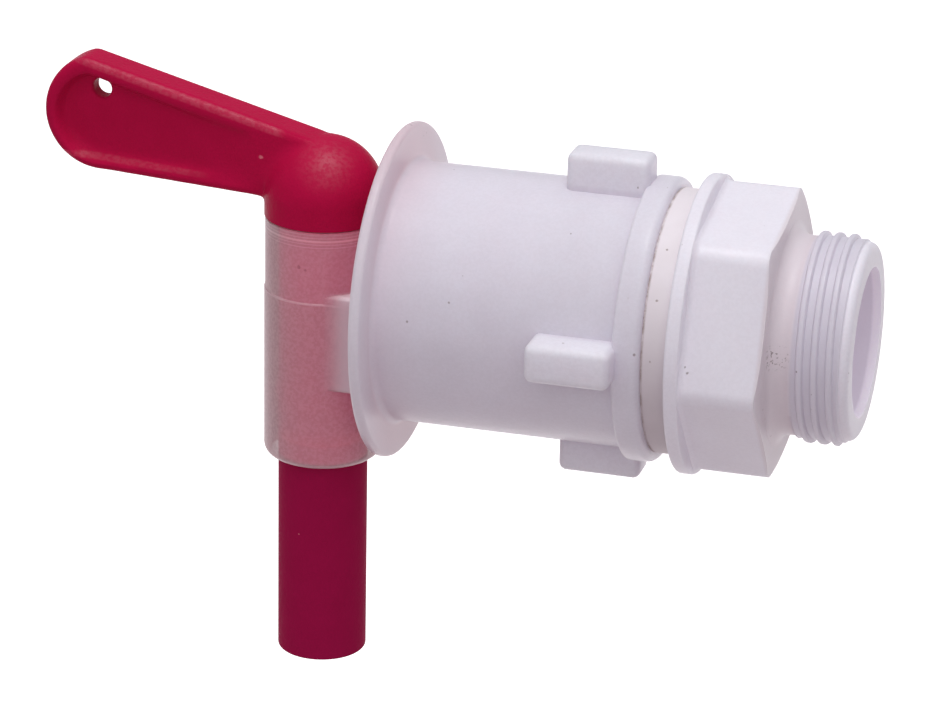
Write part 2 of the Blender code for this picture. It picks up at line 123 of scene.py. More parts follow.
def pressed(name, corners, start, along, out, depth):
    """A straight prism: the outline drawn out along depth."""
    shape = drawn(corners, start, along, out)
    grown = bmesh.ops.extrude_face_region(shape, geom=shape.faces[:])
    moved = [item for item in grown["geom"] if isinstance(item, bmesh.types.BMVert)]
    bmesh.ops.translate(shape, verts=moved, vec=depth * MM)
    return solid(name, shape)


def settled(target):
    """Works the object's modifiers into its mesh."""
    bpy.context.view_layer.update()
    graph = bpy.context.evaluated_depsgraph_get()
    mesh = bpy.data.meshes.new_from_object(target.evaluated_get(graph))
    target.modifiers.clear()
    target.data = mesh


def combined(target, operation, *others):
    """Joins the other solids to the target, or cuts them out of it, and removes them."""
    for other in others:
        change = target.modifiers.new(operation, "BOOLEAN")
        change.object = other
        change.operation = operation
        change.solver = "EXACT"
    settled(target)
    for other in others:
        bpy.data.objects.remove(other)


def finished(piece, look, body, node, sharp=32):
    """Gives a piece its finish, smooth shading and its place on the frame."""
    piece.data.materials.clear()
    piece.data.materials.append(look)
    piece.data.shade_smooth()
    piece.data.set_sharp_from_angle(angle=math.radians(sharp))
    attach(piece, body)
    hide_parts(node)


X, Y, Z = Vector((1, 0, 0)), Vector((0, 1, 0)), Vector((0, 0, 1))

# The outline runs round the hand flange, the sleeve and the collar, and back through the hollow.
sleeve = turned(
    "tap_body_moulding",
    [
        (FLANGE_BACK, 0),
        (FLANGE_BACK, FLANGE_RADIUS, 0.55),
        (FLANGE_FRONT, FLANGE_RADIUS, 0.55),
        (FLANGE_FRONT, SLEEVE_RADIUS, 1.0),
        (COLLAR_START, SLEEVE_RADIUS, 0.3),
        (COLLAR_START, COLLAR_RADIUS, 0.4),
        (BODY_END, COLLAR_RADIUS, 1.0),
        (BODY_END, 14.17),
        (BODY_END - 0.8, THREADED_RADIUS),
        (THREADED_START, THREADED_RADIUS),
        (THREADED_START, CAVITY_RADIUS),
        (CAVITY_START, CAVITY_RADIUS, 1.2),
        (CAVITY_START, 0),
    ],
    BARREL_AXIS,
    X,
    Z,
    180,
)
barrel = turned(
    "barrel",
    [
        (BARREL_BOTTOM, 0),
        (BARREL_BOTTOM, BARREL_RADIUS, 1.4),
        (-0.7, BARREL_RADIUS),
        (-0.58, BARREL_RADIUS - BARREL_STEP),
        (BARREL_TOP, BARREL_RADIUS - BARREL_STEP, 0.2),
        (BARREL_TOP, 0),
    ],
    BARREL_AXIS,
    Z,
    X,
    128,
)
neck = pressed(
    "inlet_neck",
    [
        (-NECK_HALF_WIDTH, NECK_BOTTOM, NECK_ROUNDING),
        (NECK_HALF_WIDTH, NECK_BOTTOM, NECK_ROUNDING),
        (NECK_HALF_WIDTH, NECK_TOP, NECK_ROUNDING),
        (-NECK_HALF_WIDTH, NECK_TOP, NECK_ROUNDING),
    ],
    BARREL_AXIS,
    Y,
    Z,
    X * NECK_LENGTH,
)
lug_shape = bmesh.new()
for quarter in range(4):
    block = bmesh.ops.create_cube(lug_shape, size=1)["verts"]
    bmesh.ops.scale(lug_shape, verts=block, vec=LUG_SIZE * MM)
    bmesh.ops.translate(lug_shape, verts=block, vec=(BARREL_AXIS + LUG_PLACE) * MM)
    bmesh.ops.rotate(
        lug_shape, verts=block, cent=(0, 0, 0), matrix=Matrix.Rotation(quarter * math.pi / 2, 3, X)
    )
bmesh.ops.bevel(
    lug_shape,
    geom=lug_shape.edges[:],
    offset=LUG_ROUNDING * MM,
    offset_type="OFFSET",
    segments=5,
    profile=0.5,
    affect="EDGES",
    material=-1,
)
lugs = solid("grip_lugs", lug_shape)
# The bore has a shallow groove for the plug's bead, and opens out into a lead-in at the top.
barrel_bore = turned(
    "barrel_bore",
    [
        (-26.0, 0),
        (-26.0, BORE_RADIUS),
        (-15.9, BORE_RADIUS),
        (-15.5, BORE_RADIUS + GROOVE_DEPTH),
        (-13.5, BORE_RADIUS + GROOVE_DEPTH),
        (-13.1, BORE_RADIUS),
        (8.35, BORE_RADIUS),
        (10.35, BORE_RADIUS + 2),
        (10.35, 0),
    ],
    BARREL_AXIS,
    Z,
    X,
    96,
)
inlet = turned(
    "inlet_passage",
    [(0, 0), (0, INLET_RADIUS), (14, INLET_RADIUS), (14, 0)],
    BARREL_AXIS + Z * INLET_HEIGHT,
    X,
    Z,
    64,
)
combined(sleeve, "UNION", barrel, neck, lugs)
combined(sleeve, "DIFFERENCE", barrel_bore, inlet)


class Sock:
    """An output of a material's node, so that masks and sums are written as plain arithmetic."""

    def __init__(self, look, socket):
        self.look, self.socket = look, socket

    def __add__(self, other):
        return self.look.maths("ADD", self, other)

    def __sub__(self, other):
        return self.look.maths("SUBTRACT", self, other)

    def __rsub__(self, other):
        return self.look.maths("SUBTRACT", other, self)

    def __mul__(self, other):
        return self.look.maths("MULTIPLY", self, other)

    __radd__, __rmul__ = __add__, __mul__


class Look:
    """A plastic's material, with its Principled shader and the nodes that vary it."""

    def __init__(self, name, **constants):
        self.material = bpy.data.materials.new(name)
        self.material.use_nodes = True
        self.tree = self.material.node_tree
        self.shader = self.tree.nodes["Principled BSDF"]
        for socket, value in constants.items():
            self.shader.inputs[socket.replace("_", " ")].default_value = value
        self.place = self.node("ShaderNodeTexCoord", {}, {}, "Object")
        self.x, self.y, self.z = (
            self.node("ShaderNodeSeparateXYZ", {}, {0: self.place}, n) for n in range(3)
        )

    def node(self, kind, settings, values, output=0):
        """Any node, with its settings, its inputs' values or links, and the output to use."""
        made = self.tree.nodes.new(kind)
        for name, value in settings.items():
            setattr(made, name, value)
        for name, value in values.items():
            if isinstance(value, Sock):
                self.tree.links.new(value.socket, made.inputs[name])
            else:
                made.inputs[name].default_value = value
        return Sock(self, made.outputs[output])

    def maths(self, operation, *values):
        return self.node("ShaderNodeMath", {"operation": operation}, dict(enumerate(values)))

    def ramp(self, value, low, high, first=0.0, last=1.0):
        """A smooth change from first to last as the value goes from low to high."""
        return self.node(
            "ShaderNodeMapRange",
            {"interpolation_type": "SMOOTHSTEP"},
            {0: value, 1: low, 2: high, 3: first, 4: last},
        )

    def blend(self, share, first, second):
        """The first colour, mixed with a share of the second."""
        colours = {0: share, 6: first, 7: second}
        return self.node("ShaderNodeMix", {"data_type": "RGBA"}, colours, 2)

    def noise(self, scale, detail=3.0, roughness=0.5):
        values = {"Vector": self.place, "Scale": scale, "Detail": detail, "Roughness": roughness}
        return self.node("ShaderNodeTexNoise", {}, values)

    def specks(self, scale, radius, density):
        """Small round dots, present in a share of the cells given by density."""
        cell = {"Vector": self.place, "Scale": scale, "Randomness": 1.0}
        near = self.node("ShaderNodeTexVoronoi", {}, cell, "Distance")
        pick = self.node("ShaderNodeTexVoronoi", {}, cell, "Color")
        chance = self.node("ShaderNodeSeparateColor", {}, {0: pick}, 0)
        return self.ramp(near, radius, radius * 0.5) * self.maths("LESS_THAN", chance, density)

    def drive(self, socket, value):
        self.tree.links.new(value.socket, self.shader.inputs[socket])

    def bump(self, height, depth):
        relief = {"Height": height, "Distance": depth, "Strength": 1.0}
        self.drive("Normal", self.node("ShaderNodeBump", {}, relief))

    def distance(self, x, y, z):
        """How far away a place is that is given in mm."""
        ends = {0: self.place, 1: (x * MM, y * MM, z * MM)}
        return self.node("ShaderNodeVectorMath", {"operation": "DISTANCE"}, ends, 1)

    def spots(self, marks):
        """Small ragged marks, each given by its place and radius in mm."""
        ragged = self.noise(2600.0, 1.0) * (0.35 * MM)
        total = 0.0
        for x, y, z, radius in marks:
            away = self.distance(x, y, z) + ragged
            total = self.ramp(away, (radius + 0.2) * MM, (0.5 * radius + 0.15) * MM) + total
        return self.maths("MINIMUM", total, 1.0)

    def band(self, value, low, high, soft):
        """One between low and high, fading to nothing over a soft edge. All in mm."""
        rise = self.ramp(value, (low - soft) * MM, low * MM)
        return rise * self.ramp(value, high * MM, (high + soft) * MM, 1.0, 0.0)


def shade(red, green, blue):
    """A display colour, 0 to 255, as the linear one that a material takes."""
    return (*[((c / 255 + 0.055) / 1.055) ** 2.4 for c in (red, green, blue)], 1.0)


natural = Look(
    "natural_plastic",
    Roughness=0.34,
    IOR=1.5,
    Specular_IOR_Level=0.3,
    Subsurface_Weight=0.4,
    Subsurface_Scale=0.005,
    Subsurface_Radius=(1.0, 0.85, 0.85),
)
# Near the plug the milk is painted with a red tint, painted light from the plug, and the inlet neck's
# top has a painted highlight.
along = natural.x - BARREL_AXIS.x * MM
from_axis = natural.maths("SQRT", along * along + natural.y * natural.y)
from_thread_axis = natural.maths("SQRT", natural.z * natural.z + natural.y * natural.y)
cloud = natural.noise(180.0)
milk = natural.blend(cloud, shade(234, 228, 238), shade(226, 218, 228))
# The grip lugs are painted a little lighter, as painted light.
on_lugs = natural.ramp(from_thread_axis, 0.0168, 0.0175) * natural.band(along, 31.8, 41.6, 0.6)
milk = natural.blend(on_lugs * 0.35, milk, shade(250, 248, 254))
plug_red_glow = natural.band(along, -9, 11.1, 0.4) * 0.5 + natural.band(along, -9, 12, 8) * 0.4
plug_red_glow = natural.ramp(from_axis, 0.008, 0.030, 1.0, 0.0) * plug_red_glow
milk_with_painted_light = natural.blend(plug_red_glow, milk, shade(221, 190, 198))
neck_top_highlight = natural.band(natural.z, 0.3, 0.7, 0.25) * natural.band(along, 3.0, 9.6, 0.25)
neck_top_highlight = neck_top_highlight * natural.ramp(from_axis, 0.0074, 0.0077)
milk_with_painted_light = natural.blend(neck_top_highlight * 0.9, milk_with_painted_light, shade(250, 226, 232))
pearl = natural.ramp(natural.noise(2300.0, 2.0, 0.6), 0.35, 0.65)
milk_with_painted_light = natural.blend(pearl * 0.12, milk_with_painted_light, shade(206, 196, 204))
# The barrel's wall. Its darker, pinker colour is painted red light from the plug and painted shade
# from inside the barrel. Its step has a painted highlight, and there are fine pale rings under its
# rim, one of them brighter, and a lighter band at its end.
wall_height = natural.band(natural.z, -11.9, 0.5, 0.45)
in_neck = natural.ramp(along, 0.0015, 0.0065) * wall_height
wall = natural.ramp(from_axis, 0.0078, 0.0095, 1.0, 0.0) * (1 - in_neck)
fine_rings = natural.ramp(natural.maths("SINE", natural.z * 14960.0), 0.35, 0.95)
rim_rings = fine_rings * natural.band(natural.z, 6.5, 8.6, 0.1)
bright_ring = natural.band(natural.z, 7.55, 7.75, 0.12)
step_highlight = natural.band(natural.z, -0.78, -0.6, 0.12)
end_ring = natural.band(natural.z, -24.0, -22.75, 0.25)
pale_rings_and_step_highlight = natural.maths("MINIMUM", rim_rings * 0.5 + bright_ring * 0.5 + step_highlight * 0.6, 1.0)
wall_light_and_shade = natural.blend(pearl, shade(192, 156, 161), shade(180, 142, 147))
wall_colour = natural.blend(pale_rings_and_step_highlight * 0.7 + end_ring * 0.5, wall_light_and_shade, shade(224, 194, 200))
clean = natural.blend(wall, milk_with_painted_light, wall_colour)
# Soil: the specks that the photograph shows, and a few fine ones elsewhere.
marks = natural.spots(
    [
        (-44.21, -16.31, 2.03, 0.2),
        (-39.07, -15.73, 4.78, 0.16),
        (-37.75, -14.38, 7.97, 0.12),
        (-49.42, 1.77, 21.2, 0.2),
        (-23.87, -18.64, 2.45, 0.14),
        (-15.28, -17.65, 1.6, 0.2),
        (-19.06, -2.45, 17.55, 0.12),
        (-14.75, -15.59, 5.62, 0.25),
        (-61.05, -7.41, 4.11, 0.3),
        (-60.24, -7.46, 3.83, 0.2),
    ]
)
grime = natural.specks(900.0, 0.14, 0.03) * natural.ramp(natural.noise(60.0), 0.45, 0.6) + marks
natural.drive("Base Color", natural.blend(grime * 0.6, clean, shade(124, 98, 94)))
# The wall is clearest where one looks straight through it. The bore's surface isn't seen by itself.
facing = natural.node("ShaderNodeLayerWeight", {}, {"Blend": 0.5}, "Facing")
bore_surface = natural.ramp(from_axis, 0.0069, 0.0066)
thinner = 1 + natural.ramp(natural.z, -0.0008, -0.0005) * 0.25
clear = wall * thinner * natural.ramp(facing, 0.05, 0.62, 0.29, 0.03)
clear = clear * (1 - pale_rings_and_step_highlight * 0.45) * (1 - end_ring * 0.6)
natural.drive("Alpha", 1 - natural.maths("MAXIMUM", clear, bore_surface))
natural.drive("Roughness", 0.28 + cloud * 0.1)
natural.bump(natural.noise(2500.0, 2.0), 0.01 * MM)
finished(sleeve, natural.material, "body", "tap_body")

# Turning plug. Lever, domed head, hollow plug and spout are one satin red moulding, pushed into the
# barrel until its bead snaps into the groove. The lever is a flat blade with a thick rounded rim, a
# thinner web inside it and a hole to hang the tap by.
PLUG_RADIUS, PLUG_BORE = 5.75, 3.9
SEAL_FLOOR = 4.65
PORT_RADIUS = 3.2
SPOUT_END = -50.6
DOME_CENTRE, DOME_RADIUS = 11.65, 7.6
LEVER_TIP, TIP_RADIUS = (-29.15, 19.8), 7.5
LEVER_THICKNESS = 5.9
TOP_SLOPE, BOTTOM_SLOPE = math.radians(14.6), math.radians(3.5)
TOP_AT_AXIS, BOTTOM_AT_AXIS = 18.97, 10.55
RIM_ROUNDING = 0.9
WEB_DEPTH = 1.85
HANG_HOLE, HANG_HOLE_RADIUS = (-29.25, 22.85), 1.3
VOXEL = 0.21
ROOT_ROUNDS, WEB_ROUNDS, HEAD_ROUNDS = 70, 14, 11
CROWN = (-58.3, -4.6, 17.45)


def lever_side(inset, inner):
    """The lever's side view, drawn in by an inset, as corners counted from the barrel's axis."""
    radius = TIP_RADIUS - inset
    first, last = math.pi / 2 + TOP_SLOPE, 3 * math.pi / 2 + BOTTOM_SLOPE
    tip = []
    for step in range(33):
        angle = first + (last - first) * step / 32
        tip.append(
            (LEVER_TIP[0] + radius * math.cos(angle), LEVER_TIP[1] + radius * math.sin(angle))
        )
    top = tip[0][1] + (tip[0][0] - inner) * math.tan(TOP_SLOPE)
    bottom = tip[-1][1] + (tip[-1][0] - inner) * math.tan(BOTTOM_SLOPE)
    return [(inner, top), *tip, (inner, bottom)]


blade = pressed(
    "blade",
    lever_side(0, 0.0),
    BARREL_AXIS - Y * (LEVER_THICKNESS / 2),
    X,
    Z,
    Y * LEVER_THICKNESS,
)
blade_shape = bmesh.new()
blade_shape.from_mesh(blade.data)
bmesh.ops.bevel(
    blade_shape,
    geom=[e for e in blade_shape.edges if e.calc_face_angle(0) > math.radians(40)],
    offset=RIM_ROUNDING * MM,
    offset_type="OFFSET",
    segments=6,
    profile=0.5,
    affect="EDGES",
    material=-1,
)
blade_shape.to_mesh(blade.data)
blade_shape.free()
# Both recesses fade out towards the dome, so each one's floor is turned a little.
recesses = []
for side in (-1, 1):
    recess_shape = drawn(lever_side(1.5, -9.0), BARREL_AXIS + Y * side * 2.9 - Z * 0.5, X, Z)
    bmesh.ops.recalc_face_normals(recess_shape, faces=recess_shape.faces)
    floor = bmesh.ops.extrude_face_region(recess_shape, geom=recess_shape.faces[:])["geom"]
    outer = [item for item in floor if isinstance(item, bmesh.types.BMVert)]
    bmesh.ops.translate(recess_shape, verts=outer, vec=Y * side * 3.0 * MM)
    recess_shape.normal_update()
    inner = [
        face
        for face in recess_shape.faces
        if abs(face.normal.y) > 0.9
        and abs(face.calc_center_median().y) < LEVER_THICKNESS / 2 * MM
    ]
    bmesh.ops.inset_region(recess_shape, faces=inner, thickness=1.0 * MM, use_even_offset=True)
    web = list({point for face in inner for point in face.verts})
    bmesh.ops.translate(recess_shape, verts=web, vec=(Y * side * -WEB_DEPTH + Z * 0.4) * MM)
    bmesh.ops.rotate(
        recess_shape,
        verts=web,
        cent=(BARREL_AXIS - X * 36) * MM,
        matrix=Matrix.Rotation(math.radians(3.3 * side), 3, "Z"),
    )
    recesses.append(solid("recess", recess_shape))
hole = turned(
    "hang_hole",
    [(0, 0), (0, HANG_HOLE_RADIUS), (8, HANG_HOLE_RADIUS), (8, 0)],
    BARREL_AXIS + Vector((HANG_HOLE[0], -4, HANG_HOLE[1])),
    Y,
    Z,
    48,
)
dome = []
for step in range(37):
    angle = step * math.pi / 72
    dome.append(
        (DOME_CENTRE + DOME_RADIUS * math.cos(angle), DOME_RADIUS * math.sin(angle))
    )
plug = turned(
    "red_plug",
    [*dome, (8.0, DOME_RADIUS), (8.0, 0)],
    BARREL_AXIS,
    Z,
    X,
    120,
)
combined(blade, "DIFFERENCE", *recesses, hole)
combined(plug, "UNION", blade)
# One even skin over dome and lever lets the smoothing blend the lever's root into the dome.
skin = plug.modifiers.new("one skin", "REMESH")
skin.mode = "VOXEL"
skin.voxel_size = VOXEL * MM
settled(plug)
# The root is smoothed most, where the lever's sides run into the dome, then the recesses with their
# steep sides, and then the whole head a little.
head = bmesh.new()
head.from_mesh(plug.data)
root, web = [], []
for point in head.verts:
    away = point.co / MM - BARREL_AXIS
    if -13.5 < away.x < -2 and abs(away.y) > 1.4 and 12.4 < away.z < 18.4:
        root.append(point)
    from_hole = math.hypot(away.x - HANG_HOLE[0], away.z - HANG_HOLE[1])
    if away.x < -8 and abs(away.y) < 2.6 and away.z < 16.2 - away.x * 0.26 and from_hole > 2.2:
        web.append(point)
for points, rounds in ((root, ROOT_ROUNDS), (web, WEB_ROUNDS), (head.verts[:], HEAD_ROUNDS)):
    for _ in range(rounds):
        bmesh.ops.smooth_vert(
            head, verts=points, factor=0.5, use_axis_x=True, use_axis_y=True, use_axis_z=True
        )
head.to_mesh(plug.data)
head.free()
# The head is cut flat just above the barrel's rim. Below it the stem has two ring grooves, the bead
# and, from the end of the spout up, its bore.
under = turned("under", [(6, 0), (6, 10), (8.95, 10), (8.95, 0)], BARREL_AXIS, Z, X, 64)
stem = turned(
    "stem",
    [
        (10.5, 0),
        (10.5, PLUG_RADIUS),
        (8.15, PLUG_RADIUS),
        (8.15, SEAL_FLOOR),
        (6.75, SEAL_FLOOR),
        (6.75, PLUG_RADIUS),
        (-13.5, PLUG_RADIUS),
        (-14.2, 6.1),
        (-14.8, 6.1),
        (-15.5, PLUG_RADIUS),
        (-19.3, PLUG_RADIUS),
        (-19.3, SEAL_FLOOR),
        (-20.7, SEAL_FLOOR),
        (-20.7, PLUG_RADIUS),
        (SPOUT_END, PLUG_RADIUS, 0.4),
        (SPOUT_END, PLUG_BORE, 0.3),
        (-3.5, PLUG_BORE, 2.5),
        (-0.9, 0),
    ],
    BARREL_AXIS,
    Z,
    X,
    120,
)
port = turned(
    "port",
    [(0, 0), (0, PORT_RADIUS), (8, PORT_RADIUS), (8, 0)],
    BARREL_AXIS + Z * INLET_HEIGHT,
    X,
    Z,
    64,
)
combined(plug, "DIFFERENCE", under)
combined(plug, "UNION", stem)
combined(plug, "DIFFERENCE", port)

red = Look(
    "red_plastic",
    Roughness=0.3,
    IOR=1.5,
    Specular_IOR_Level=0.02,
    Coat_Roughness=0.5,
    Coat_IOR=1.5,
    Emission_Strength=1.0,
)
# The spout is hollow, and its red is darker than the lever's. In the barrel the plug is lit through
# the wall. There it is painted a lighter red and given a faint glow of its own, painted light that
# stands in for that.
mottle = red.noise(1700.0, 3.0, 0.6)
streak = red.noise(350.0, 2.0)
solid_red = red.blend(streak, shade(182, 13, 62), shade(192, 15, 69))
thin_red = red.blend(streak, shade(160, 16, 68), shade(168, 18, 73))
in_barrel = red.band(red.z, -23.0, 8.3, 0.3)
outside = red.blend(red.ramp(red.z, 0.0105, 0.002), solid_red, thin_red)
nick = red.spots([(-67.58, -2.95, 16.5, 0.3), (-61.53, -5.57, -33.04, 0.1)])
coloured = red.blend(in_barrel, outside, shade(206, 40, 74))
red.drive("Base Color", red.blend(nick * 0.8, coloured, shade(226, 120, 134)))
red.drive("Emission Color", red.blend(in_barrel, shade(0, 0, 0), shade(167, 67, 105)))
red.drive("Roughness", 0.26 + mottle * 0.14 + red.ramp(red.z, 0.004, -0.004) * 0.25)
# Fingers rub the lever's edges and the dome's crown, which shine a little more than the rest.
outward = red.x - BARREL_AXIS.x * MM
off_middle = red.maths("ABSOLUTE", red.y)
below_top = TOP_AT_AXIS * MM - outward * math.tan(TOP_SLOPE) - red.z
above_bottom = red.z + outward * math.tan(BOTTOM_SLOPE) - BOTTOM_AT_AXIS * MM
top_edge = red.ramp(off_middle, 0.0021, 0.0024) * red.band(below_top, -0.5, 0.8, 0.3)
low_edge = red.band(above_bottom, 1.5, 1.9, 0.3) * red.band(outward, -33, -17, 3)
crown = red.ramp(red.distance(*CROWN), 0.0052, 0.001)
rubbed = top_edge * red.band(outward, -34, -6, 2) * 0.75 + low_edge * 0.5 + crown * 0.6
sheen = rubbed * red.ramp(mottle, 0.38, 0.62, 0.55, 1.45)
red.drive("Coat Weight", red.maths("MINIMUM", sheen, 1.0))
red.bump(mottle, 0.06 * MM)
finished(plug, red.material, "plug", "turning_plug", 40)

# O-rings. Two clear silicone rings in grooves of the plug seal it in the barrel. No dark ring shows
# through the barrel's wall, so they aren't black rubber. They are given the plug's red and its
# painted glow, which stands in for light through the wall.
SEAL_SECTION, SEAL_CENTRE = 0.55, 5.28
silicone = Look("silicone_rubber", Roughness=0.5, IOR=1.41, Emission_Strength=1.0)
cure = silicone.noise(600.0)
silicone.drive("Base Color", silicone.blend(cure, shade(186, 104, 120), shade(176, 92, 110)))
silicone.drive("Emission Color", silicone.blend(cure, shade(164, 66, 103), shade(158, 60, 98)))
silicone.drive("Alpha", 0.4 + cure * 0.1)
for node, height in (("upper_o_ring", 7.45), ("lower_o_ring", -20.0)):
    section = []
    for step in range(16):
        angle = step * math.pi / 8
        section.append(
            (
                height + SEAL_SECTION * math.cos(angle),
                SEAL_CENTRE + SEAL_SECTION * math.sin(angle),
            )
        )
    ring = turned(
        node.replace("o_ring", "seal_ring"),
        section,
        BARREL_AXIS,
        Z,
        X,
        96,
    )
    finished(ring, silicone.material, "plug", node, 60)

# Sealing washer. A thick ring cut from a sheet of soft cream plastic, which the adapter's flange
# presses against the collar. It is painted greyer low down, as painted shade, and soil sits along
# both its edges.
# It starts a hair inside the collar's face, so that the line between the two stays soft.
WASHER_START, WASHER_END = 45.36, 48.65
WASHER_INSIDE, WASHER_OUTSIDE = 13.52, 16.6
washer = turned(
    "cream_washer",
    [
        (WASHER_START, WASHER_INSIDE, 0.2),
        (WASHER_START, WASHER_OUTSIDE),
        (WASHER_END, WASHER_OUTSIDE, 0.25),
        (WASHER_END, WASHER_INSIDE, 0.2),
    ],
    BARREL_AXIS,
    X,
    Z,
    160,
)
cream = Look("cream_washer", Roughness=0.55, IOR=1.48)
grain = cream.noise(300.0)
cream_tone = cream.blend(grain, shade(244, 236, 240), shade(234, 224, 227))
low_down = cream.ramp(cream.z, 0.011, -0.012)
shaded_low = cream.blend(low_down, cream_tone, cream.blend(grain, shade(212, 200, 203), shade(198, 187, 191)))
out_along = cream.x - BARREL_AXIS.x * MM
soiled = 1 - cream.band(out_along, 45.75, 48.35, 0.25)
patches = cream.ramp(cream.noise(420.0, 4.0, 0.7), 0.4, 0.62)
spots = cream.spots(
    [(-13.32, -10.5, 12.82, 0.16), (-13.38, -14.68, 7.71, 0.16), (-13.53, -16.56, 0.52, 0.16)]
)
dirt = cream.maths("MINIMUM", soiled * (0.25 + patches * 0.5) + spots * 0.7, 1.0)
cream.drive("Base Color", cream.blend(dirt, shaded_low, shade(146, 122, 114)))
cream.bump(grain, 0.02 * MM)
finished(washer, cream.material, "body", "sealing_washer")

# Thread adapter. A white plastic moulding with a spanner hexagon, a flange and two right-handed
# G 3/4 threads, 14 to the inch. One is screwed into the body's sleeve, where its turns can't be seen
# and aren't drawn. The other enters the can.
SHOULDER = Vector((0, 0, 0))
PITCH = 1.814
THREAD_TURNS, STEPS_PER_TURN = 5, 96
ROOT_RADIUS, CREST_RADIUS = 12.6, 13.22
SPIGOT_END, CAN_END = -26.55, 9.85
ADAPTER_FLANGE_BACK, ADAPTER_FLANGE_FRONT, ADAPTER_FLANGE_RADIUS = -11.45, -9.7, 18.77
ADAPTER_BORE = 9.35
FLAT_RADIUS, HEXAGON_TURN = 15.97, 40.5
adapter = turned(
    "white_adapter",
    [
        (SPIGOT_END, 0),
        (SPIGOT_END, ROOT_RADIUS),
        (-25.43, CREST_RADIUS),
        (ADAPTER_FLANGE_BACK, CREST_RADIUS),
        (ADAPTER_FLANGE_BACK, ADAPTER_FLANGE_RADIUS, 0.35),
        (ADAPTER_FLANGE_FRONT, ADAPTER_FLANGE_RADIUS, 0.25),
        (ADAPTER_FLANGE_FRONT, 14.1),
        (0.02, 14.1),
        (0.02, 12.4, 1.68),
        (2.45, 12.4),
        (2.95, ROOT_RADIUS),
        (8.6, ROOT_RADIUS),
        (8.8, 12.35),
        (CAN_END, 12.35, 1.0),
        (CAN_END, 0),
    ],
    SHOULDER,
    X,
    Z,
    180,
)
corner_radius = 2 * FLAT_RADIUS / math.sqrt(3)
hexagon_corners = []
for n in range(6):
    angle = math.radians(HEXAGON_TURN + 60 * n)
    hexagon_corners.append(
        (-corner_radius * math.sin(angle), corner_radius * math.cos(angle), 1.5)
    )
hexagon_shape = drawn(hexagon_corners, X * 2.0, Y, Z)
# The hexagon is drawn out towards the flange, and swells into a small fillet at its foot.
rim = hexagon_shape.edges[:]
place, grown = 2.0, 1.0
for next_place, swell in ((-9.0, 0.0), (-9.3, 0.09), (-9.52, 0.27), (-9.66, 0.45), (-10.2, 0.45)):
    drawn_out = bmesh.ops.extrude_edge_only(hexagon_shape, edges=rim)["geom"]
    corners = [item for item in drawn_out if isinstance(item, bmesh.types.BMVert)]
    rim = [
        item
        for item in drawn_out
        if isinstance(item, bmesh.types.BMEdge) and all(point in corners for point in item.verts)
    ]
    wanted = 1 + swell / FLAT_RADIUS
    bmesh.ops.scale(hexagon_shape, verts=corners, vec=(1, wanted / grown, wanted / grown))
    bmesh.ops.translate(hexagon_shape, verts=corners, vec=X * (next_place - place) * MM)
    place, grown = next_place, wanted
bmesh.ops.holes_fill(hexagon_shape, edges=rim, sides=0)
hexagon = solid("hexagon", hexagon_shape)
envelope = turned(
    "hexagon_chamfer",
    [(-13, 0), (-13, 20.4), (-1.08, 20.4), (0, 16.37, 0.9), (0, 0)],
    SHOULDER,
    X,
    Z,
    144,
)
combined(hexagon, "INTERSECT", envelope)
# The tooth's outline is wound along the neck, and a turned envelope tapers both ends of the helix.
thread_shape = drawn(
    [
        (-0.86, 11.8),
        (-0.72, 12.1),
        (-0.28, 13.1, 0.12),
        (0.28, 13.1, 0.12),
        (0.72, 12.1),
        (0.86, 11.8),
    ],
    X * -0.18,
    X,
    Z,
    4,
)
bmesh.ops.spin(
    thread_shape,
    geom=thread_shape.verts[:] + thread_shape.edges[:] + thread_shape.faces[:],
    cent=(0, 0, 0),
    axis=X,
    dvec=X * PITCH * MM / STEPS_PER_TURN,
    angle=2 * math.pi * THREAD_TURNS,
    steps=STEPS_PER_TURN * THREAD_TURNS,
    use_merge=False,
)
thread = solid("thread", thread_shape)
thread_room = turned(
    "thread_room",
    [
        (2.55, 11.5),
        (2.55, 12.2),
        (3.25, CREST_RADIUS),
        (7.75, CREST_RADIUS),
        (8.45, 12.0),
        (8.45, 11.5),
    ],
    SHOULDER,
    X,
    Z,
    144,
)
combined(thread, "INTERSECT", thread_room)
bore = turned(
    "adapter_bore",
    [(-30, 0), (-30, ADAPTER_BORE), (12, ADAPTER_BORE), (12, 0)],
    SHOULDER,
    X,
    Z,
    144,
)
combined(adapter, "UNION", hexagon)
combined(adapter, "UNION", thread)
combined(adapter, "DIFFERENCE", bore)
white = Look(
    "white_plastic",
    Roughness=0.4,
    IOR=1.5,
    Subsurface_Weight=0.25,
    Subsurface_Scale=0.0015,
    Subsurface_Radius=(1.0, 0.85, 0.85),
    Emission_Strength=1.0,
)
# The thread and the bare neck beside it are a little darker than the hexagon.
haze = white.noise(150.0)
fresh_white = white.blend(haze, shade(246, 241, 249), shade(239, 232, 241))
threaded = white.band(white.x, 2.9, 8.5, 0.5)
fresh_white = white.blend(threaded, fresh_white, shade(219, 212, 223))
bare_neck = white.band(white.x, -0.1, 2.4, 0.7)
fresh_white = white.blend(bare_neck * 0.85, fresh_white, shade(227, 214, 219))
pearl = white.ramp(white.noise(2300.0, 2.0, 0.6), 0.35, 0.65)
fresh_white = white.blend(pearl * 0.1, fresh_white, shade(212, 202, 210))
